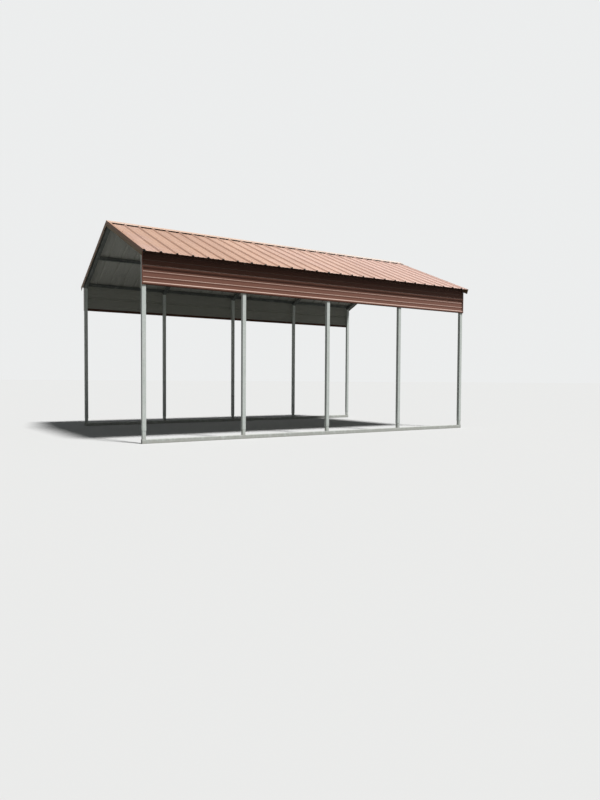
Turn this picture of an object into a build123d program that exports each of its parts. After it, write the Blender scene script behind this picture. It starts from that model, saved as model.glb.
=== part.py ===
from build123d import *
from math import atan2, ceil, cos, hypot, sin, tan
import os

# Carport: square-tube bows on two base rails under a ribbed steel gable roof.
# The length runs along X, the front side faces -Y and Z points up from the ground.
# The origin is on the ground at the middle of the plan. All sizes are in millimetres.

# Frame
frame_length = 6096.0
frame_width = 3657.6
eave_height = 2615.0
roof_rise = 5.0
roof_run = 12.0
bow_count = 5
tube = 57.15
tube_wall = 2.7
tube_corner = 5.0
stub_height = 203.2
slip_clearance = 0.475
first_leg_lift = 120.0
leg_lift = 80.0

# Hat-section purlins
hat_height = 25.4
hat_width = 100.0
hat_flange = 20.0
hat_crown = 40.0
hat_gauge = 1.2
ridge_purlin_offset = 100.0
eave_purlin_inset = 60.0

# Ribbed sheet
sheet_gauge = 0.5
rib_pitch = 228.6
ribs_per_sheet = 4
rib_height = 19.0
rib_base = 44.5
rib_top = 16.0
minor_ribs = 2
minor_rib_height = 3.0
minor_rib_base = 24.0
minor_rib_top = 12.0
lap_clearance = 0.3
eave_overhang = 116.0
roof_end_overhang = 26.0
ridge_gap = 20.0
side_panel_height = 457.2
side_panel_rise = 4.7
side_panel_setback = 1.0

# Ridge cap and trims
trim_gauge = 0.6
trim_clearance = 0.3
cap_flange = 165.0
rake_flange = 38.0
rake_face = 88.0
rake_crease = 42.0
rake_kick = 4.0
rake_joint = 1.0
corner_lip = 10.0
corner_lap = 12.0

# Values that follow from the sizes above
pitch = atan2(roof_rise, roof_run)
ridge_height = eave_height + frame_width / 2 * tan(pitch)
roof_end = frame_length / 2 + roof_end_overhang
first_rib = -frame_length / 2
sheet_cover = rib_pitch * ribs_per_sheet
sheet_count = ceil((roof_end - first_rib) / sheet_cover)
bow_spacing = (frame_length - tube) / (bow_count - 1)
side_panel_bottom = eave_height + side_panel_rise - side_panel_height
rib_slope = atan2(rib_height, (rib_base - rib_top) / 2)


# Slope frames: distances run down the front slope from the ridge, heights square to it
down_slope = Vector(0, -cos(pitch), -sin(pitch))
off_slope = Vector(0, -sin(pitch), cos(pitch))
ridge_point = Vector(0, 0, ridge_height)


def slope_point(down, height):
    """A point on the centre line of the front slope."""
    return ridge_point + down_slope * down + off_slope * height


def slope_length_to(y_out, height):
    """Distance down the slope to a line y_out from the middle, at a height off the slope."""
    return (y_out - height * sin(pitch)) / cos(pitch)


def thicken(points, gauge):
    """A closed face from a bent line, with its thickness on the left of the line."""
    normals = []
    for (x0, y0), (x1, y1) in zip(points, points[1:]):
        run = hypot(x1 - x0, y1 - y0)
        normals.append(((y0 - y1) / run, (x1 - x0) / run))
    outer = []
    last = len(points) - 1
    for i, (x, y) in enumerate(points):
        nx0, ny0 = normals[max(i - 1, 0)]
        nx1, ny1 = normals[min(i, last - 1)]
        mitre = gauge / (1 + nx0 * nx1 + ny0 * ny1)
        outer.append((x + (nx0 + nx1) * mitre, y + (ny0 + ny1) * mitre))
    return make_face(Polyline(*points, *reversed(outer), close=True))


def square_section(side, corner, wall):
    """A square tube's section with rounded corners."""
    bore = side - 2 * wall
    return RectangleRounded(side, side, corner) - RectangleRounded(bore, bore, corner - wall / 2)


# Frame tubes


def base_rail():
    """The front rail on the ground, open at both ends."""
    across = -frame_width / 2 + tube / 2
    start = Plane(origin=(-frame_length / 2, across, tube / 2), x_dir=(0, 1, 0), z_dir=(1, 0, 0))
    return extrude(start * square_section(tube, tube_corner, tube_wall), frame_length)


def bow_position(bow):
    return -frame_length / 2 + tube / 2 + bow * bow_spacing


def mitre_plane(x):
    """The welded joint between leg and rafter: from the outer corner to the inner corner."""
    outer = Vector(x, -frame_width / 2, eave_height)
    drop = tube / cos(pitch) - tube * tan(pitch)
    inner = Vector(x, -frame_width / 2 + tube, eave_height - drop)
    along = inner - outer
    return Plane(origin=outer, x_dir=(1, 0, 0), z_dir=(0, -along.Z, along.Y))


def stub(bow):
    """The short tube on the front rail that the leg slides over."""
    side = tube - 2 * tube_wall - 2 * slip_clearance
    base = Plane(origin=(bow_position(bow), -frame_width / 2 + tube / 2, tube))
    return extrude(base * square_section(side, tube_corner, tube_wall), stub_height)


def leg(bow, lift):
    """A front leg, from a lift above the rail to the mitre with the rafter."""
    x = bow_position(bow)
    base = Plane(origin=(x, -frame_width / 2 + tube / 2, tube + lift))
    full = extrude(base * square_section(tube, tube_corner, tube_wall), eave_height - lift)
    return split(full, bisect_by=mitre_plane(x), keep=Keep.BOTTOM)


def rafter(bow):
    """A front rafter, from the mitre up to the plumb cut at the ridge."""
    x = bow_position(bow)
    start = slope_point(-tube, -tube / 2) + Vector(x, 0, 0)
    base = Plane(origin=start, x_dir=(1, 0, 0), z_dir=down_slope)
    length = slope_length_to(frame_width / 2, 0) + 3 * tube
    full = extrude(base * square_section(tube, tube_corner, tube_wall), length)
    below_ridge = split(full, bisect_by=Plane.XZ, keep=Keep.TOP)
    return split(below_ridge, bisect_by=mitre_plane(x), keep=Keep.TOP)


def purlin(down):
    """A hat channel along the front slope, its flanges on the rafters."""
    foot = hat_width / 2 - hat_flange
    under_crown = hat_height - hat_gauge
    half_crown = hat_crown / 2
    line = [
        (-hat_width / 2, 0),
        (-foot, 0),
        (-half_crown, under_crown),
        (half_crown, under_crown),
        (foot, 0),
        (hat_width / 2, 0),
    ]
    middle = Plane(origin=slope_point(down, 0), x_dir=down_slope, z_dir=(-1, 0, 0))
    return extrude(middle * thicken(line, hat_gauge), frame_length / 2, both=True)


# Ribbed sheets


def rib_line(centre, height, base, top):
    return [
        (centre - base / 2, 0),
        (centre - top / 2, height),
        (centre + top / 2, height),
        (centre + base / 2, 0),
    ]


def major_rib(centre):
    return rib_line(centre, rib_height, rib_base, rib_top)


def minor_ribs_after(centre):
    """The low ribs between one major rib and the next."""
    line = []
    for i in range(minor_ribs):
        at = centre + rib_pitch * (i + 1) / (minor_ribs + 1)
        line += rib_line(at, minor_rib_height, minor_rib_base, minor_rib_top)
    return line


def lap_foot(centre):
    """Where the covering rib's outer leg ends, just above the next sheet's pan."""
    height = sheet_gauge + lap_clearance
    return (centre - rib_base / 2 + height / tan(rib_slope), height)


def underlap_rib(centre):
    """The rib that lies nested below the next sheet's first rib."""
    inset = sheet_gauge + lap_clearance
    height = rib_height - inset
    half_foot = rib_base / 2 - inset / sin(rib_slope)
    half_top = half_foot - height / tan(rib_slope)
    return rib_line(centre, height, 2 * half_foot, 2 * half_top)


def clip_line(line, end):
    """The part of a line before a given place along the roof."""
    kept = [point for point in line if point[0] < end]
    if len(kept) < len(line):
        (x0, y0), (x1, y1) = kept[-1], line[len(kept)]
        kept.append((end, y0 + (y1 - y0) * (end - x0) / (x1 - x0)))
    return kept


def sheet_line(number):
    """The underside of one roof sheet, from its covering rib to its underlap."""
    centre = first_rib + number * sheet_cover
    edge = roof_end - trim_gauge - trim_clearance
    line = major_rib(centre)
    if number == 0:
        line.insert(0, (-edge, 0))
    else:
        line[0] = lap_foot(centre)
    for i in range(ribs_per_sheet):
        line += minor_ribs_after(centre + i * rib_pitch)
        if i + 1 < ribs_per_sheet:
            line += major_rib(centre + (i + 1) * rib_pitch)
    line += underlap_rib(centre + sheet_cover)
    return clip_line(line, edge)


def roof_sheet(number):
    """One sheet of the front slope, from the ridge gap to the eave edge."""
    top = Plane(origin=slope_point(ridge_gap, hat_height), x_dir=(1, 0, 0), z_dir=down_slope)
    eave = slope_length_to(frame_width / 2 + eave_overhang, hat_height)
    return extrude(top * thicken(sheet_line(number), sheet_gauge), eave - ridge_gap)


def side_panel():
    """The half sheet laid level outside the front legs, with a rib along its lower edge."""
    centre = rib_base / 2
    line = major_rib(centre)
    while line[-1][0] < side_panel_height:
        line += minor_ribs_after(centre)
        centre += rib_pitch
        line += major_rib(centre)
    foot = Plane(
        origin=(0, -frame_width / 2, side_panel_bottom), x_dir=(0, 0, 1), z_dir=(1, 0, 0)
    )
    face = thicken(clip_line(line, side_panel_height), sheet_gauge)
    return extrude(foot * face, frame_length / 2 - side_panel_setback, both=True)


# Ridge cap and trims


def ridge_cap():
    """The bent cap over both slopes, resting on the rake trims and ribs."""
    height = hat_height + rib_height + sheet_gauge + trim_gauge
    out = cap_flange * cos(pitch)
    drop = cap_flange * sin(pitch)
    crest = Plane(
        origin=(0, 0, ridge_height + height / cos(pitch)), x_dir=(0, 1, 0), z_dir=(1, 0, 0)
    )
    face = thicken([(-out, -drop), (0, 0), (out, -drop)], trim_gauge)
    return extrude(crest * face, roof_end, both=True)


def trim_seat(inner, outer):
    """Height of the highest rib between two places along the roof."""
    place = first_rib
    while place + rib_base / 2 < inner:
        place += rib_pitch
    rib = rib_height if place - rib_base / 2 < outer else minor_rib_height
    return hat_height + rib + sheet_gauge


def rake_trim(end):
    """The angle over the sheet edges of the front slope, at one end of the roof."""
    inner, outer = sorted((end * (roof_end - rake_flange), end * roof_end))
    seat = trim_seat(inner, outer)
    web = roof_end - trim_gauge
    line = [
        (-web - rake_kick, seat - rake_face),
        (-web, seat - rake_crease),
        (-web, seat),
        (-roof_end + rake_flange, seat),
    ]
    start = Plane(origin=slope_point(-rake_face, 0), x_dir=(1, 0, 0), z_dir=down_slope)
    eave = slope_length_to(frame_width / 2 + eave_overhang, hat_height)
    full = extrude(start * thicken(line, trim_gauge), eave + rake_face)
    joint = Plane.XZ.offset(rake_joint / 2)
    trim = split(full, bisect_by=joint, keep=Keep.TOP)
    return trim if end < 0 else mirror(trim, about=Plane.YZ)


def corner_trim():
    """The angle that closes the front side panel at its left end."""
    edge = frame_length / 2
    inner = -frame_width / 2 + corner_lap
    outer = -frame_width / 2 - rib_height - sheet_gauge - trim_clearance
    line = [(-edge + corner_lip, outer), (-edge, outer), (-edge, inner)]
    foot = Plane(origin=(0, 0, side_panel_bottom))
    return extrude(foot * thicken(line, trim_gauge), side_panel_height)


# Nodes


def to_back(solid):
    return mirror(solid, about=Plane.XZ)


def write_node(name, *solids):
    shape = solids[0] if len(solids) == 1 else Compound(children=list(solids))
    export_step(shape, f"parts/{name}.step")


def main():
    os.makedirs("parts", exist_ok=True)
    rail = base_rail()
    write_node("base_rail_front", rail)
    write_node("base_rail_back", to_back(rail))
    stubs = [stub(bow) for bow in range(bow_count)]
    write_node("leg_stubs", *stubs, *[to_back(each) for each in stubs])

    for bow in range(bow_count):
        lift = leg_lift if bow else first_leg_lift
        write_node(f"leg_front_{bow + 1}", leg(bow, lift))
        write_node(f"leg_back_{bow + 1}", to_back(leg(bow, leg_lift)))
        slope = rafter(bow)
        write_node(f"rafter_front_{bow + 1}", slope)
        write_node(f"rafter_back_{bow + 1}", to_back(slope))

    eave_down = slope_length_to(frame_width / 2, 0) - eave_purlin_inset
    mid_down = (ridge_purlin_offset + eave_down) / 2
    places = {"ridge": ridge_purlin_offset, "middle": mid_down, "eave": eave_down}
    for place, down in places.items():
        channel = purlin(down)
        write_node(f"{place}_purlins", channel, to_back(channel))

    for number in range(sheet_count):
        sheet = roof_sheet(number)
        write_node(f"roof_sheet_front_{number + 1}", sheet)
        write_node(f"roof_sheet_back_{number + 1}", to_back(sheet))

    panel = side_panel()
    write_node("side_panel_front", panel)
    write_node("side_panel_back", to_back(panel))

    write_node("ridge_cap", ridge_cap())
    for side, end in {"left": -1, "right": 1}.items():
        trim = rake_trim(end)
        write_node(f"rake_trims_{side}", trim, to_back(trim))
    left = corner_trim()
    right = mirror(left, about=Plane.YZ)
    write_node("corner_trims", left, right, to_back(left), to_back(right))


main()
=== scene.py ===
from math import atan2, cos, pi, sin, tan

import bmesh
import bpy
from mathutils import Matrix, Vector


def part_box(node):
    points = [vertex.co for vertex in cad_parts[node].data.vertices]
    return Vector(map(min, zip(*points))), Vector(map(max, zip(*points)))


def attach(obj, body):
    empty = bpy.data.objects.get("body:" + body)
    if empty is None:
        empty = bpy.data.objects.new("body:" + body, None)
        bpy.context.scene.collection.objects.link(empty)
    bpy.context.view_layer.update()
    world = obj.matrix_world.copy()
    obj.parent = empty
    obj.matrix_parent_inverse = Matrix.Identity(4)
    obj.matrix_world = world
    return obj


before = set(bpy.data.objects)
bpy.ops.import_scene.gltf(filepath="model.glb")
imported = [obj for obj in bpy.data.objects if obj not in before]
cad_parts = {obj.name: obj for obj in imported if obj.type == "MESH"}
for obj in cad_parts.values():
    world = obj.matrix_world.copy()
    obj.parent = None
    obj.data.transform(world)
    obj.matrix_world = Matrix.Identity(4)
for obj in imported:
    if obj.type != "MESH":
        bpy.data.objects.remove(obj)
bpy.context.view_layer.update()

bpy.ops.object.select_all(action="DESELECT")

# Camera: stands off the front left corner, 0.87 m above the ground, and looks slightly down.
# Its place and lens come from the posts, rails, eave and ridge, with a picture of 600 by 800.
picture_height = 800
focal_length_pixels = 594.4
sensor_size = 36
camera_place = Vector((-5.442, -9.825, 0.873))
camera_turn = 0.5506
camera_pitch = -0.0323
camera_roll = 0.006

bpy.ops.object.camera_add()
camera = bpy.context.object
camera.name = "camera"
camera.data.sensor_width = sensor_size
camera.data.lens = focal_length_pixels / picture_height * sensor_size
camera.matrix_world = (
    Matrix.Translation(camera_place)
    @ Matrix.Rotation(-camera_turn, 4, "Z")
    @ Matrix.Rotation(pi / 2 + camera_pitch, 4, "X")
    @ Matrix.Rotation(camera_roll, 4, "Z")
)
bpy.context.scene.camera = camera
bpy.context.scene.view_settings.view_transform = "Standard"


# Light: an even pale sky, and one soft lamp high over the front and a little to the right.
# The eye, and glossy metal, see the sky brighter than it lights the roof.
sky_light = (0.078, 0.083, 0.086, 1)
sky_seen = (0.84, 0.85, 0.85, 1)
lamp_strength = 3.45
lamp_spread = 0.16
lamp_height = 1.06
lamp_turn = 0.40


class Field:
    """One socket of a node tree. Sums and products of fields add Math nodes to the tree."""

    def __init__(self, tree, socket=None):
        self.tree = tree
        self.socket = socket

    def node(self, kind, sockets, output=0, **settings):
        """Adds a node, sets it up, then gives its sockets their values or links."""
        made = self.tree.nodes.new("ShaderNode" + kind)
        for name, value in settings.items():
            setattr(made, name, value)
        for name, value in sockets.items():
            if isinstance(value, Field):
                self.tree.links.new(value.socket, made.inputs[name])
            else:
                made.inputs[name].default_value = value
        return Field(self.tree, made.outputs[output])

    def math(self, operation, first, second=0.0):
        return self.node("Math", {0: first, 1: second}, operation=operation)

    def __add__(self, other):
        return self.math("ADD", self, other)

    def __radd__(self, other):
        return self.math("ADD", other, self)

    def __sub__(self, other):
        return self.math("SUBTRACT", self, other)

    def __rsub__(self, other):
        return self.math("SUBTRACT", other, self)

    def __mul__(self, other):
        return self.math("MULTIPLY", self, other)

    def __rmul__(self, other):
        return self.math("MULTIPLY", other, self)

    def __truediv__(self, other):
        return self.math("DIVIDE", self, other)

    def __abs__(self):
        return self.math("ABSOLUTE", self)

    def __gt__(self, other):
        return self.math("GREATER_THAN", self, other)


def blend(mask, first, second):
    """A colour that goes from the first to the second as the mask goes from 0 to 1.

    The node's colour sockets go by number, because it has number sockets of the same names.
    """
    factor, first_colour, second_colour, mixed_colour = 0, 6, 7, 2
    sockets = {factor: mask, first_colour: first, second_colour: second}
    return mask.node("Mix", sockets, output=mixed_colour, data_type="RGBA")


def seen_directly(start):
    """1 for what the eye sees straight, in a gloss or through glass, and 0 for light on a piece."""
    straight = start.node("LightPath", {}, output="Is Camera Ray")
    gloss = start.node("LightPath", {}, output="Is Glossy Ray")
    glass = start.node("LightPath", {}, output="Is Transmission Ray")
    return start.math("MAXIMUM", start.math("MAXIMUM", straight, gloss), glass)


world = bpy.data.worlds.new("pale_sky")
world.use_nodes = True
bpy.context.scene.world = world
sky_colour = blend(seen_directly(Field(world.node_tree)), sky_light, sky_seen)
world.node_tree.links.new(
    sky_colour.socket, world.node_tree.nodes["Background"].inputs["Color"]
)

bpy.ops.object.light_add(type="SUN", rotation=(pi / 2 - lamp_height, 0, lamp_turn))
lamp = bpy.context.object
lamp.name = "soft_lamp"
lamp.data.energy = lamp_strength
lamp.data.angle = lamp_spread


# Floor: a plain pale level ground that shows the carport's shadow.
# It looks pale to the eye, and throws less light up on the carport than so pale a floor would.
floor_size = 2000
floor_seen = (0.80, 0.80, 0.79, 1)
floor_lighting = (0.155, 0.155, 0.147, 1)


def new_finish(name):
    """A new material, with the field that its nodes start from."""
    material = bpy.data.materials.new(name)
    material.use_nodes = True
    return material, Field(material.node_tree)


def connect(material, **values):
    """Links fields to the sockets of the material's shader, and sets plain numbers on them.

    Spaces in the sockets' names are written as underscores.
    """
    shader = material.node_tree.nodes["Principled BSDF"]
    for name, value in values.items():
        socket = shader.inputs[name.replace("_", " ")]
        if isinstance(value, Field):
            material.node_tree.links.new(value.socket, socket)
        else:
            socket.default_value = value


floor_finish, floor_start = new_finish("pale_floor")
floor_colour = blend(seen_directly(floor_start), floor_lighting, floor_seen)
connect(floor_finish, Base_Color=floor_colour, Roughness=1, Specular_IOR_Level=0)

bpy.ops.mesh.primitive_plane_add(size=floor_size)
floor = bpy.context.object
floor.name = "floor"
floor.data.materials.append(floor_finish)


# Base rails: one square tube lies on the ground along each long side, and its ends stay open.
# Hot-dip galvanised steel, cut to length, dulled by weather and splashed with soil.
zinc_dark = (0.72, 0.77, 0.73, 1)
zinc_light = (0.81, 0.86, 0.81, 1)
zinc_white_bloom = (0.86, 0.89, 0.86, 1)
zinc_run = (0.46, 0.49, 0.45, 1)
soil = (0.42, 0.39, 0.34, 1)
zinc_gloss = 0.08
zinc_roughness = 0.46
zinc_metallic = 0.06
spangle_size = 0.012
bloom_scale = 7
bloom_edges = (0.46, 0.70)
bloom_share = 0.6
zinc_run_scales = (90, 90, 2.2)
zinc_run_edges = (0.52, 0.74)
zinc_run_share = 0.35
splash_reach = 0.18
splash_wander = 0.28
splash_scale = 16
splash_share = 0.5
zinc_grain_scale = 220
zinc_grain_strength = 0.12
zinc_grain_depth = 0.0005


def fade(value, start, end):
    """0 at the start and 1 at the end, with soft shoulders."""
    sockets = {"Value": value, "From Min": start, "From Max": end}
    return value.node("MapRange", sockets, interpolation_type="SMOOTHSTEP")


def noise(place, scale, detail):
    return place.node("TexNoise", {"Vector": place, "Scale": scale, "Detail": detail})


def drawn_out(place, scales, detail):
    """Noise with a scale for each axis. It is drawn out along the axis that has the smallest."""
    place = place.node("VectorMath", {0: place, 1: scales}, operation="MULTIPLY")
    return noise(place, 1, detail)


def part_of(place, axis):
    return place.node("SeparateXYZ", {0: place}, output=axis)


def bumps(height, strength, depth):
    return height.node("Bump", {"Strength": strength, "Distance": depth, "Height": height})


def galvanised(name, dark, light, white, spangle):
    """Weathered zinc: spangle, white bloom, thin rain runs, and soil splashed up from below."""
    material, start = new_finish(name)
    place = start.node("TexCoord", {}, output="Object")
    crystal = start.node("TexVoronoi", {"Vector": place, "Scale": 1 / spangle}, output="Color")
    tone = start.node("SeparateColor", {0: crystal}, output="Red")
    bloom = fade(noise(place, bloom_scale, detail=5), *bloom_edges)
    runs = fade(drawn_out(place, zinc_run_scales, detail=2), *zinc_run_edges)
    height = part_of(place, "Z") - splash_wander * noise(place, splash_scale, detail=5)
    splashed = fade(height, splash_reach - splash_wander / 2, -splash_wander / 2)
    colour = blend(tone, dark, light)
    colour = blend(bloom * bloom_share, colour, white)
    colour = blend(runs * zinc_run_share, colour, zinc_run)
    colour = blend(splashed * splash_share, colour, soil)
    roughness = zinc_roughness + 0.08 * tone + 0.12 * bloom + 0.20 * splashed
    metallic = zinc_metallic - 0.02 * bloom - 0.02 * splashed
    relief = 0.35 * tone + noise(place, zinc_grain_scale, detail=2)
    bump = bumps(relief, zinc_grain_strength, zinc_grain_depth)
    connect(material, Base_Color=colour, Roughness=roughness, Metallic=metallic, Normal=bump)
    connect(material, Specular_IOR_Level=zinc_gloss)
    return material


def dress(material, *names):
    """Gives CAD nodes their finish."""
    for name in names:
        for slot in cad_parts[name].material_slots:
            slot.material = material


tube_zinc = galvanised("galvanised_tube", zinc_dark, zinc_light, zinc_white_bloom, spangle_size)
dress(tube_zinc, "base_rail_front", "base_rail_back")


# Leg stubs: short, slightly smaller tubes stand on the rails, and the legs slide over them.
# Same zinc as the rails. Each is welded to its rail all round its foot.
bow_count = 5
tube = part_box("base_rail_front")[1].z
half_width = -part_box("base_rail_front")[0].y
leg_line = half_width - tube / 2
sides = {"front": -1, "back": 1}
stub_side = 0.0508
tube_corner = 0.005
tube_corner_steps = 3
weld_radius = 0.0028
weld_roundness = 1
weld_cuts = 3
weld_unevenness = 0.25
weld_seed = 4
weld_dark = (0.20, 0.19, 0.18, 1)
weld_light = (0.46, 0.47, 0.45, 1)
weld_rust = (0.22, 0.10, 0.05, 1)
weld_roughness = 0.5
weld_metallic = 0.7
weld_ripple_scale = 260
weld_ripple_strength = 0.5
weld_ripple_depth = 0.0008
rust_scale = 90
rust_edges = (0.56, 0.70)
rust_share = 0.7

dress(tube_zinc, "leg_stubs")
bow_places = []
for bow in range(bow_count):
    leg_low, leg_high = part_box(f"leg_front_{bow + 1}")
    bow_places.append((leg_low.x + leg_high.x) / 2)


def copy_to(model, place):
    """A copy of a model with its own mesh, set at a place given as a matrix."""
    piece = bpy.data.objects.new(model.name, model.data.copy())
    piece.data.transform(place)
    bpy.context.collection.objects.link(piece)
    return piece


def assemble(name, model, places, material):
    """One copy of the model at each place, joined in one piece that rides with the frame."""
    copies = [copy_to(model, place) for place in places]
    bpy.ops.object.select_all(action="DESELECT")
    for copy in copies:
        copy.select_set(True)
    bpy.context.view_layer.objects.active = copies[0]
    bpy.ops.object.join()
    piece = bpy.context.object
    piece.name = name
    piece.data.materials.clear()
    piece.data.materials.append(material)
    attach(piece, "root")
    return piece


def weld_loop(width, length):
    """A bead of weld round a square tube's edge, flat on the ground, uneven as laid by hand."""
    bpy.ops.mesh.primitive_plane_add(size=1)
    loop = bpy.context.object
    bpy.ops.object.mode_set(mode="EDIT")
    bpy.ops.transform.resize(value=(width, length, 1))
    bpy.ops.mesh.bevel(offset=tube_corner, segments=tube_corner_steps, affect="VERTICES")
    bpy.ops.mesh.delete(type="ONLY_FACE")
    bpy.ops.mesh.select_all(action="SELECT")
    bpy.ops.mesh.subdivide(number_cuts=weld_cuts)
    bpy.ops.object.mode_set(mode="OBJECT")
    bpy.ops.object.convert(target="CURVE")
    loop.data.bevel_depth = weld_radius
    loop.data.bevel_resolution = weld_roundness
    bpy.ops.object.convert(target="MESH")
    bpy.ops.object.mode_set(mode="EDIT")
    bpy.ops.mesh.select_all(action="SELECT")
    bpy.ops.transform.vertex_random(offset=weld_radius * weld_unevenness, seed=weld_seed)
    bpy.ops.mesh.normals_make_consistent(inside=False)
    bpy.ops.object.mode_set(mode="OBJECT")
    bpy.ops.object.shade_smooth()
    return bpy.context.object


def weld_finish(name):
    """Grey weld metal with small rust freckles, brushed over with zinc paint."""
    material, start = new_finish(name)
    place = start.node("TexCoord", {}, output="Object")
    ripple = noise(place, weld_ripple_scale, detail=2)
    rust = fade(noise(place, rust_scale, detail=4), *rust_edges)
    colour = blend(ripple, weld_dark, weld_light)
    colour = blend(rust * rust_share, colour, weld_rust)
    roughness = weld_roughness + 0.35 * rust
    metallic = weld_metallic - 0.6 * rust
    bump = bumps(ripple, weld_ripple_strength, weld_ripple_depth)
    connect(material, Base_Color=colour, Roughness=roughness, Metallic=metallic, Normal=bump)
    return material


weld_metal = weld_finish("weld_metal")
stub_weld = weld_loop(stub_side, stub_side)
stub_feet = []
for way in sides.values():
    for x in bow_places:
        stub_feet.append(Matrix.Translation((x, way * leg_line, tube)))
assemble("stub_welds", stub_weld, stub_feet, weld_metal)
bpy.data.objects.remove(stub_weld)


# Legs: square tubes slid over the stubs and held a little above the rails to level the roof.
# Galvanised like the rails. Self-drilling hex screws go through both side faces into the stub.
screw_sides = 12
hex_radius = 0.0046
hex_height = 0.0052
flange_radius = 0.0066
flange_height = 0.0012
flange_skirt = 0.0004
shank_radius = 0.0027
shank_length = 0.012
tip_length = 0.005
level_within = 1e-5
screw_rises = (0.022, 0.058)
screw_zinc_dark = (0.42, 0.43, 0.42, 1)
screw_zinc_light = (0.72, 0.73, 0.71, 1)
screw_zinc_metallic = 0.75
screw_roughness = 0.32
screw_tone_scale = 140
screw_tone_edges = (0.3, 0.7)
screw_relief_strength = 0.2
screw_relief_depth = 0.0003

for side in sides:
    dress(tube_zinc, *[f"leg_{side}_{bow + 1}" for bow in range(bow_count)])


def draw_in(scale):
    """Scales what is selected about the screw's axis."""
    bpy.ops.transform.resize(value=(scale, scale, 1), center_override=(0, 0, 0))


def pull(height, scale=1.0):
    """Extrudes what is selected up by a height and draws it in."""
    bpy.ops.mesh.extrude_region_move(TRANSFORM_OT_translate={"value": (0, 0, height)})
    draw_in(scale)


def extend_edges(move):
    """Extrudes the selected edges by a move."""
    bpy.ops.mesh.extrude_edges_move(TRANSFORM_OT_translate={"value": move})


def select_points(piece, wanted):
    """Selects the points of the mesh in edit mode for which wanted(point) holds."""
    shape = bmesh.from_edit_mesh(piece.data)
    for point in shape.verts:
        point.select = wanted(point)
    shape.select_flush_mode()
    bmesh.update_edit_mesh(piece.data)


def level_with(height):
    """The test for points that lie at a height."""
    return lambda point: abs(point.co.z - height) < level_within


def hex_screw(washer_radius, washer_height):
    """A self-drilling hex screw that stands on the ground.

    From the ground up it has its washer, flange and hex head, and below it its shank and drill tip.
    """
    bpy.ops.mesh.primitive_circle_add(vertices=screw_sides, radius=washer_radius, fill_type="NGON")
    screw = bpy.context.object
    bpy.ops.object.mode_set(mode="EDIT")
    pull(washer_height, flange_radius / washer_radius)
    pull(flange_height, hex_radius / flange_radius)
    shape = bmesh.from_edit_mesh(screw.data)
    rim = sorted((p for p in shape.verts if p.select), key=lambda p: atan2(p.co.y, p.co.x))
    # Every second point of the rim moves in to the middle of one of the six flats.
    for count, point in enumerate(rim):
        point.select = count % 2 == 0
    shape.select_flush_mode()
    draw_in(cos(pi / 6))
    select_points(screw, level_with(washer_height + flange_height))
    pull(hex_height)
    # The disc that the washer rose from would stay inside the screw, so it goes.
    select_points(screw, level_with(0))
    bpy.ops.mesh.delete(type="ONLY_FACE")
    select_points(screw, level_with(0))
    extend_edges((0, 0, 0))
    draw_in(shank_radius / washer_radius)
    extend_edges((0, 0, -shank_length))
    extend_edges((0, 0, -tip_length))
    bpy.ops.mesh.merge(type="CENTER")
    bpy.ops.mesh.select_all(action="SELECT")
    bpy.ops.mesh.normals_make_consistent(inside=False)
    bpy.ops.object.mode_set(mode="OBJECT")
    return screw


def screw_finish(name, dark, light, metallic):
    """A screw's zinc or paint, a little uneven in tone."""
    material, start = new_finish(name)
    place = start.node("TexCoord", {}, output="Object")
    tone = noise(place, screw_tone_scale, detail=2)
    colour = blend(fade(tone, *screw_tone_edges), dark, light)
    roughness = screw_roughness + 0.25 * tone
    metallic = metallic + 0.1 * tone
    bump = bumps(tone, screw_relief_strength, screw_relief_depth)
    connect(material, Base_Color=colour, Roughness=roughness, Metallic=metallic, Normal=bump)
    return material


zinc_screw = hex_screw(flange_radius, flange_skirt)
zinc_plate = screw_finish("zinc_screw", screw_zinc_dark, screw_zinc_light, screw_zinc_metallic)
leg_screws = []
for side, way in sides.items():
    for bow, x in enumerate(bow_places):
        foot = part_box(f"leg_{side}_{bow + 1}")[0].z
        for rise in screw_rises:
            for face in (-1, 1):
                at = Matrix.Translation((x + face * tube / 2, way * leg_line, foot + rise))
                leg_screws.append(at @ Matrix.Rotation(face * pi / 2, 4, "Y"))
assemble("leg_screws", zinc_screw, leg_screws, zinc_plate)
bpy.data.objects.remove(zinc_screw)


# Rafters: square tubes mitred to the legs and cut plumb at the ridge, so each bow is one welded
# frame. Galvanised, with painted shade: their zinc is a darker copy of the legs', for the shade
# under the roof. The welds run round each joint, with a little rust where the zinc burned off.
roof_rise = 5
roof_run = 12
pitch = atan2(roof_rise, roof_run)
eave_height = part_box("leg_front_1")[1].z
ridge_height = eave_height + half_width * tan(pitch)
# Darker copies of the legs' zinc: painted shade for the parts under the roof.
rafter_zinc_dark_painted_shade = (0.17, 0.18, 0.17, 1)
rafter_zinc_light_painted_shade = (0.27, 0.29, 0.27, 1)
bloom_painted_shade = (0.33, 0.35, 0.33, 1)

rafter_zinc_painted_shade = galvanised(
    "galvanised_rafter", rafter_zinc_dark_painted_shade, rafter_zinc_light_painted_shade, bloom_painted_shade, spangle_size
)
for side in sides:
    dress(rafter_zinc_painted_shade, *[f"rafter_{side}_{bow + 1}" for bow in range(bow_count)])

plumb_cut = tube / cos(pitch)
mitre_drop = plumb_cut - tube * tan(pitch)
mitre_slant = atan2(mitre_drop, tube)
mitre_weld = weld_loop(tube, tube / cos(mitre_slant))
mitres = []
for way in sides.values():
    for x in bow_places:
        middle = Matrix.Translation((x, way * leg_line, eave_height - mitre_drop / 2))
        mitres.append(middle @ Matrix.Rotation(way * mitre_slant, 4, "X"))
assemble("eave_welds", mitre_weld, mitres, weld_metal)
bpy.data.objects.remove(mitre_weld)

ridge_weld = weld_loop(tube, plumb_cut)
ridge_joints = []
for x in bow_places:
    middle = Matrix.Translation((x, 0, ridge_height - plumb_cut / 2))
    ridge_joints.append(middle @ Matrix.Rotation(pi / 2, 4, "X"))
assemble("ridge_welds", ridge_weld, ridge_joints, weld_metal)
bpy.data.objects.remove(ridge_weld)
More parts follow.
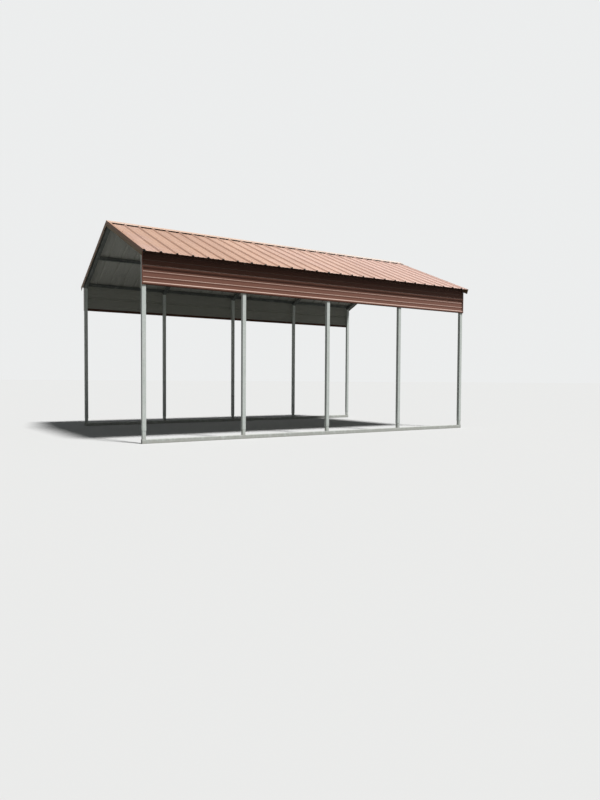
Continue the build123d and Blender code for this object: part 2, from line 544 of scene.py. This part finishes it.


# Purlins: hat channels along both slopes, screwed down on the rafters, open side down.
# Roll-formed from thin galvanised strip with a finer spangle than the tubes. Their zinc is darker
# still: painted shade under the roof.
# Painted shade: a darker copy of the zinc, for the channels under the roof.
purlin_dark_painted_shade = (0.14, 0.15, 0.145, 1)
purlin_light_painted_shade = (0.22, 0.235, 0.22, 1)
purlin_spangle = 0.006

purlin_zinc_painted_shade = galvanised(
    "galvanised_channel", purlin_dark_painted_shade, purlin_light_painted_shade, bloom_painted_shade, purlin_spangle
)
dress(purlin_zinc_painted_shade, "eave_purlins", "middle_purlins", "ridge_purlins")


# Roof sheets: seven ribbed sheets on each slope, each lapped over the next, from ridge to eave.
# Brown factory paint with a grey backer coat underneath. Its pale colour is partly chalk and partly
# a painted sheen of the sky at a low angle, and the painted sheen grows towards the right end.
# Rain has streaked it, dirt lies beside the ribs, and painted shade lies below the ridge cap.
half_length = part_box("base_rail_front")[1].x
sheet_count = 7
ribs_per_sheet = 4
rib_pitch = 0.2286
rib_foot = 0.024
rib_foot_dirt = 0.010
first_rib = -half_length
cap_reach = 0.158
paint = (0.25, 0.112, 0.082, 1)
# The pale colours are partly chalk and partly a painted sheen of the sky at a low angle.
chalk_and_sheen_paint = (0.81, 0.565, 0.49, 1)
golden_chalk_and_sheen = (0.72, 0.455, 0.315, 1)
streaked_paint = (0.20, 0.09, 0.065, 1)
backer = (0.68, 0.68, 0.625, 1)
backer_stain = (0.48, 0.475, 0.43, 1)
backer_stain_edges = (0.4, 0.7)
least_stain = 0.15
streak_stain = 0.5
rib_dirt = (0.15, 0.085, 0.06, 1)
rib_dirt_share = 0.26
rib_dirt_edges = (0.2, 0.7)
# Painted shade on the strip below the ridge cap.
under_cap_shade_colour = (0.085, 0.042, 0.035, 1)
under_cap_shade_share = 0.92
under_cap_shade_edge = 0.01
roof_gloss = 0.35
roof_chalk = 1.0
roof_streaking = 0.9
paint_roughness = 0.40
cloud_scale = 1.3
warmth_scale = 0.9
warmth_edges = (0.15, 0.50)
golden_loss = 0.85
streak_scales = (7, 1.1, 1.1)
streak_middle = 0.4
paint_run_scales = (55, 2.2, 2.2)
paint_run_edges = (0.60, 0.80)
paint_run_share = 0.3
speckle_scale = 38
plain_chalk = 0.19
# A painted sheen that grows towards the right end.
right_end_painted_sheen = 0.40
streak_chalk = 0.35
cloud_chalk = 0.5
sheet_chalk = 0.08
speckle_chalk = 0.3
canning_scales = (3.0, 0.9, 0.9)
canning_strength = 0.7
canning_depth = 0.006


def painted(name, chalk, streaking, gloss, outside, layers=(), chalk_and_sheen=chalk_and_sheen_paint, inner=backer):
    """Coil-painted steel, brown on one side and with a backer coat on the other.

    outside says which faces are brown. layers are masks, with the colours that they add to it.
    """
    material, start = new_finish(name)
    place = start.node("TexCoord", {}, output="Object")
    facing = start.node("NewGeometry", {}, output="True Normal")
    along = part_of(place, "X")
    cloud = noise(place, cloud_scale, detail=4)
    warmth = fade(noise(place, warmth_scale, detail=2), *warmth_edges)
    streaks = drawn_out(place, streak_scales, detail=4)
    runs = fade(drawn_out(place, paint_run_scales, detail=2), *paint_run_edges)
    speckle = noise(place, speckle_scale, detail=4)
    sheet = start.math("FLOOR", (along - first_rib) / (rib_pitch * ribs_per_sheet))
    sheet_tone = start.node("TexWhiteNoise", {"W": sheet}, noise_dimensions="1D")
    # Painted sheen: paler and less golden towards the right end.
    painted_sheen_to_right = fade(along, first_rib, -first_rib)

    faded = plain_chalk + right_end_painted_sheen * painted_sheen_to_right + streak_chalk * streaking * (streaks - streak_middle)
    faded = chalk * (faded + cloud_chalk * cloud + sheet_chalk * sheet_tone)
    faded = faded + speckle_chalk * chalk * speckle
    chalk_and_sheen_colour = blend(warmth * (1 - golden_loss * painted_sheen_to_right), chalk_and_sheen, golden_chalk_and_sheen)
    brown = blend(faded, paint, chalk_and_sheen_colour)
    brown = blend(paint_run_share * streaking * runs, brown, streaked_paint)
    for mask, cover in layers:
        brown = blend(mask(place, facing, cloud), brown, cover)

    stained = fade(0.5 * streaks + 0.5 * cloud, *backer_stain_edges)
    stain_share = least_stain + streak_stain * streaking
    inside = blend(stain_share * stained, inner, backer_stain)
    colour = blend(outside(place, facing), inside, brown)
    roughness = paint_roughness + 0.12 * streaks + 0.12 * speckle
    canning = drawn_out(place, canning_scales, detail=2) + 0.01 * speckle
    bump = bumps(canning, canning_strength, canning_depth)
    connect(material, Base_Color=colour, Roughness=roughness, Normal=bump)
    connect(material, Specular_IOR_Level=gloss)
    return material


def faces_up(place, facing):
    """The side of a sheet that faces the sky."""
    return part_of(facing, "Z") > 0.0


def rib_foot_dirt_line(place, facing, cloud):
    """Dirt in a thin line on both sides of each rib."""
    phase = (part_of(place, "X") - first_rib) / rib_pitch + 0.5
    from_rib = abs(phase.math("FRACT", phase) - 0.5) * rib_pitch
    line = fade(abs(from_rib - rib_foot), rib_foot_dirt, 0.0)
    return rib_dirt_share * line * fade(cloud, *rib_dirt_edges)


def under_cap_painted_shade(place, facing, cloud):
    """Below the ridge cap the paint is unchalked, and painted shade makes it darker still."""
    return under_cap_shade_share * fade(abs(part_of(place, "Y")), cap_reach, cap_reach - under_cap_shade_edge)


roof_paint = painted(
    "roof_paint",
    chalk=roof_chalk,
    streaking=roof_streaking,
    gloss=roof_gloss,
    outside=faces_up,
    layers=[(rib_foot_dirt_line, rib_dirt), (under_cap_painted_shade, under_cap_shade_colour)],
)
for side in sides:
    dress(roof_paint, *[f"roof_sheet_{side}_{number + 1}" for number in range(sheet_count)])


# Roof screws: painted hex screws with bonded washers hold the sheets to the purlins beside each
# rib. The drill tips come through the crowns of the channels and show from below.
washer_radius = 0.0072
washer_height = 0.0016
screw_beside_rib = 0.035
rib_count = 27
hat_height = 0.0254
sheet_gauge = 0.0005
eave_purlin_inset = 0.060
ridge_purlin_down = 0.100
painted_screw_dark = (0.20, 0.10, 0.07, 1)
painted_screw_light = (0.34, 0.19, 0.14, 1)

sheet_screw = hex_screw(washer_radius, washer_height)
painted_head = screw_finish(
    "painted_screw", painted_screw_dark, painted_screw_light, metallic=0.0
)
eave_purlin_down = half_width / cos(pitch) - eave_purlin_inset
middle_purlin_down = (ridge_purlin_down + eave_purlin_down) / 2


def on_slope(x, down, height, way):
    """The place of a screw on a slope, at a distance down from the ridge.

    Its height is measured square to the roof, from the tops of the rafters.
    """
    out = down * cos(pitch) + height * sin(pitch)
    up = ridge_height - down * sin(pitch) + height * cos(pitch)
    return Matrix.Translation((x, way * out, up)) @ Matrix.Rotation(-way * pitch, 4, "X")


for side, way in sides.items():
    roof_screws = []
    for rib in range(rib_count):
        x = first_rib + rib * rib_pitch + screw_beside_rib
        for down in (middle_purlin_down, eave_purlin_down):
            roof_screws.append(on_slope(x, down, hat_height + sheet_gauge, way))
    assemble(f"roof_screws_{side}", sheet_screw, roof_screws, painted_head)


# Side panels: half sheets laid level on the outside of the legs, under the eaves, ribs outwards.
# The same paint as the roof but less chalked, with dust and a painted highlight on the upper faces
# of the ribs, and painted shade on a strip under the eave.
panel_screw_rises = (0.057, 0.286, 0.43)
panel_chalk = 0.08
panel_streaking = 0.2
panel_gloss = 0.06
# A darker copy of the roof's backer: painted shade on the panels' inner faces.
panel_backer_painted_shade = (0.46, 0.465, 0.42, 1)
# Partly dust and partly a painted highlight on the upper faces of the ribs.
pale_dust_and_highlight = (0.82, 0.64, 0.55, 1)
pale_dust_and_highlight_share = 0.75
pale_dust_scale = 30
pale_dust_edges = (0.2, 0.8)
pale_dust_slopes = (0.1, 0.4)
# Painted shade for the strip under the eave.
painted_eave_shade = (0.055, 0.029, 0.022, 1)
eave_shade_share = 0.85
eave_shade_depth = 0.25
square_to_panel = -0.02


def faces_out(place, facing):
    """The side away from the parking space, and the faces that stand square to it."""
    outwards = part_of(facing, "Y") * part_of(place, "Y")
    return outwards > square_to_panel


def rib_top_dust_and_highlight(place, facing, cloud):
    """Dust, and a painted highlight where the light falls, on the upper faces of the level ribs."""
    flat = fade(part_of(facing, "Z"), *pale_dust_slopes)
    lying = fade(cloud + 0.5 * noise(place, pale_dust_scale, detail=4), *pale_dust_edges)
    return pale_dust_and_highlight_share * flat * lying


def under_eave_painted_shade(place, facing, cloud):
    """Painted shade on the upper part, under the eave."""
    return eave_shade_share * fade(eave_height - part_of(place, "Z"), eave_shade_depth, 0.0)


panel_paint = painted(
    "panel_paint",
    chalk=panel_chalk,
    streaking=panel_streaking,
    gloss=panel_gloss,
    outside=faces_out,
    layers=[(rib_top_dust_and_highlight, pale_dust_and_highlight), (under_eave_painted_shade, painted_eave_shade)],
    inner=panel_backer_painted_shade,
)
dress(panel_paint, "side_panel_front", "side_panel_back")

panel_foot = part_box("side_panel_front")[0].z
for side, way in sides.items():
    panel_screws = []
    for x in bow_places:
        for rise in panel_screw_rises:
            at = Matrix.Translation((x, way * (half_width + sheet_gauge), panel_foot + rise))
            panel_screws.append(at @ Matrix.Rotation(-way * pi / 2, 4, "X"))
    assemble(f"panel_screws_{side}", sheet_screw, panel_screws, painted_head)


# Edge trims: thin brown strips along the feet of the side panels close the lowest rib from the
# inside. Each reaches from leg to leg, has a hem at its top and hooks under the sheet's edge.
edge_trim_height = 0.046
edge_trim_gauge = 0.0005
edge_trim_hook = 0.004
edge_trim_hem = 0.005
edge_trim_gap = 0.001
edge_darker_tone = (0.085, 0.045, 0.032, 1)

bpy.ops.mesh.primitive_plane_add(size=1)
edge_strip = bpy.context.object
bpy.ops.object.mode_set(mode="EDIT")
strip_length = bow_places[1] - bow_places[0] - tube - 2 * edge_trim_gap
bpy.ops.transform.translate(value=(0, 0.5, 0))
bpy.ops.transform.resize(value=(strip_length, edge_trim_height, 1), center_override=(0, 0, 0))
select_points(edge_strip, lambda p: p.co.y < level_within)
extend_edges((0, 0, edge_trim_hook))
select_points(edge_strip, lambda p: p.co.y > edge_trim_height - level_within)
extend_edges((0, 0, -2 * edge_trim_gauge))
extend_edges((0, -edge_trim_hem, 0))
bpy.ops.mesh.select_all(action="SELECT")
bpy.ops.mesh.normals_make_consistent(inside=False)
bpy.ops.object.mode_set(mode="OBJECT")
wall = edge_strip.modifiers.new("wall", "SOLIDIFY")
wall.thickness = edge_trim_gauge
wall.offset = 0
bpy.ops.object.modifier_apply(modifier=wall.name)


def faces_any_way(place, facing):
    """Both sides of a trim are painted."""
    return abs(part_of(facing, "Z")) + 1.0


def darker_all_over(place, facing, cloud):
    """Darker over the whole strip, less so in places."""
    return 0.5 + 0.5 * cloud


edge_paint = painted(
    "edge_paint",
    chalk=0.0,
    streaking=panel_streaking,
    gloss=panel_gloss,
    outside=faces_any_way,
    layers=[(darker_all_over, edge_darker_tone)],
)
upright = Matrix.Rotation(pi / 2, 4, "X")
half_turn = Matrix.Rotation(pi, 4, "Z")
strips = []
for way in sides.values():
    turn = upright if way < 0 else half_turn @ upright
    inside_sheet = way * (half_width - edge_trim_gauge)
    for left, right in zip(bow_places, bow_places[1:]):
        middle = (left + right) / 2
        place = Matrix.Translation((middle, inside_sheet, panel_foot - edge_trim_gauge))
        strips.append(place @ turn)
assemble("edge_trims", edge_strip, strips, edge_paint)
bpy.data.objects.remove(edge_strip)


# Ridge cap: one bent strip over the top ends of both slopes, on the ribs and the rake trims.
# Painted like the sheets and palest of all: a little chalk and mostly a painted sheen of the sky.
# It is darker along its lower edges, its underside is painted shade, and a screw near each edge
# holds it to every rib.
cap_flange = 0.165
cap_screw_edge = 0.020
rib_height = 0.019
trim_gauge = 0.0006
trim_streaking = 0.5
cap_gloss = 1.0
# The cap's pale colour is a little chalk and mostly a painted sheen of the sky at a low angle.
cap_chalk_and_sheen_amount = 1.6
cap_chalk_and_sheen = (0.86, 0.72, 0.62, 1)
# Painted shade on the cap's underside, so that the gap under its edges looks dark.
cap_underside_painted_shade = (0.22, 0.16, 0.13, 1)
cap_darker_tone = (0.42, 0.25, 0.19, 1)
cap_line_height = 0.012
cap_line_solid = 0.002
cap_line_share = 0.55
cap_blotch_scale = 5.5
cap_blotch_edges = (0.50, 0.68)
cap_blotch_share = 0.35


def cap_edges_darker(place, facing, cloud):
    """A thin darker line along both lower edges, and a few darker blotches above it."""
    from_ridge = abs(part_of(place, "Y"))
    line = fade(from_ridge, cap_reach - cap_line_height, cap_reach - cap_line_solid)
    blotches = fade(noise(place, cap_blotch_scale, detail=4), *cap_blotch_edges)
    return cap_line_share * line + cap_blotch_share * blotches


cap_paint = painted(
    "cap_paint",
    chalk=cap_chalk_and_sheen_amount,
    streaking=trim_streaking,
    gloss=cap_gloss,
    outside=faces_up,
    layers=[(cap_edges_darker, cap_darker_tone)],
    chalk_and_sheen=cap_chalk_and_sheen,
    inner=cap_underside_painted_shade,
)
dress(cap_paint, "ridge_cap")

cap_top = hat_height + rib_height + sheet_gauge + 2 * trim_gauge
cap_crest = -cap_top * tan(pitch)
cap_screws = []
for way in sides.values():
    for rib in range(rib_count):
        x = first_rib + rib * rib_pitch
        cap_screws.append(on_slope(x, cap_crest + cap_flange - cap_screw_edge, cap_top, way))
assemble("cap_screws", sheet_screw, cap_screws, painted_head)


# Rake trims: angles over the sheets' edges at both gable ends, with a face that hangs past the
# purlin ends. Chalked, with a painted sheen, like the sheets on top, and brown on the face. Below
# a crease the face kicks out and is olive in tone.
rake_crease = 0.042
rake_crease_edge = 0.001
rake_screws_per_slope = 3
rake_screw_gap = 0.61
minor_rib_height = 0.003
rake_chalk = 0.9
rake_lower_olive = (0.23, 0.175, 0.09, 1)
rake_lower_olive_share = 0.75
rake_brown = (0.31, 0.165, 0.105, 1)
rake_brown_share = 0.97
rake_brown_slopes = (0.75, 0.6)


def lower_face_olive(place, facing, cloud):
    """An olive tone on the part of the face that lies below its crease."""
    above_ridge = part_of(place, "Z") - ridge_height
    off_roof = above_ridge * cos(pitch) + abs(part_of(place, "Y")) * sin(pitch)
    crease = hat_height + rib_height + sheet_gauge - rake_crease
    return rake_lower_olive_share * fade(off_roof, crease + rake_crease_edge, crease - rake_crease_edge)


def faces_sideways(place, facing, cloud):
    """The faces that the sun and the rain reach least."""
    return rake_brown_share * fade(part_of(facing, "Z"), *rake_brown_slopes)


rake_paint = painted(
    "rake_paint",
    chalk=rake_chalk,
    streaking=trim_streaking,
    gloss=panel_gloss,
    outside=faces_any_way,
    layers=[(faces_sideways, rake_brown), (lower_face_olive, rake_lower_olive)],
)
dress(rake_paint, "rake_trims_left", "rake_trims_right")

rake_screws = []
for way in sides.values():
    for end in (-1, 1):
        rib = rib_height if end < 0 else minor_rib_height
        flange_top = hat_height + rib + sheet_gauge + trim_gauge
        for count in range(rake_screws_per_slope):
            down = (count + 0.5) * rake_screw_gap
            rake_screws.append(on_slope(end * half_length, down, flange_top, way))
assemble("rake_screws", sheet_screw, rake_screws, painted_head)
bpy.data.objects.remove(sheet_screw)


# Corner trims: small angles that close the ends of the side panels against the corner legs.
# Painted brown, shaded by the eave and so hardly chalked.
corner_chalk = 0.05


def faces_outside(place, facing):
    """The faces that turn away from the middle of the carport."""
    along = part_of(facing, "X") * part_of(place, "X")
    across = part_of(facing, "Y") * part_of(place, "Y")
    return along + across > 0.0


corner_paint = painted(
    "corner_paint",
    chalk=corner_chalk,
    streaking=panel_streaking,
    gloss=panel_gloss,
    outside=faces_outside,
)
dress(corner_paint, "corner_trims")
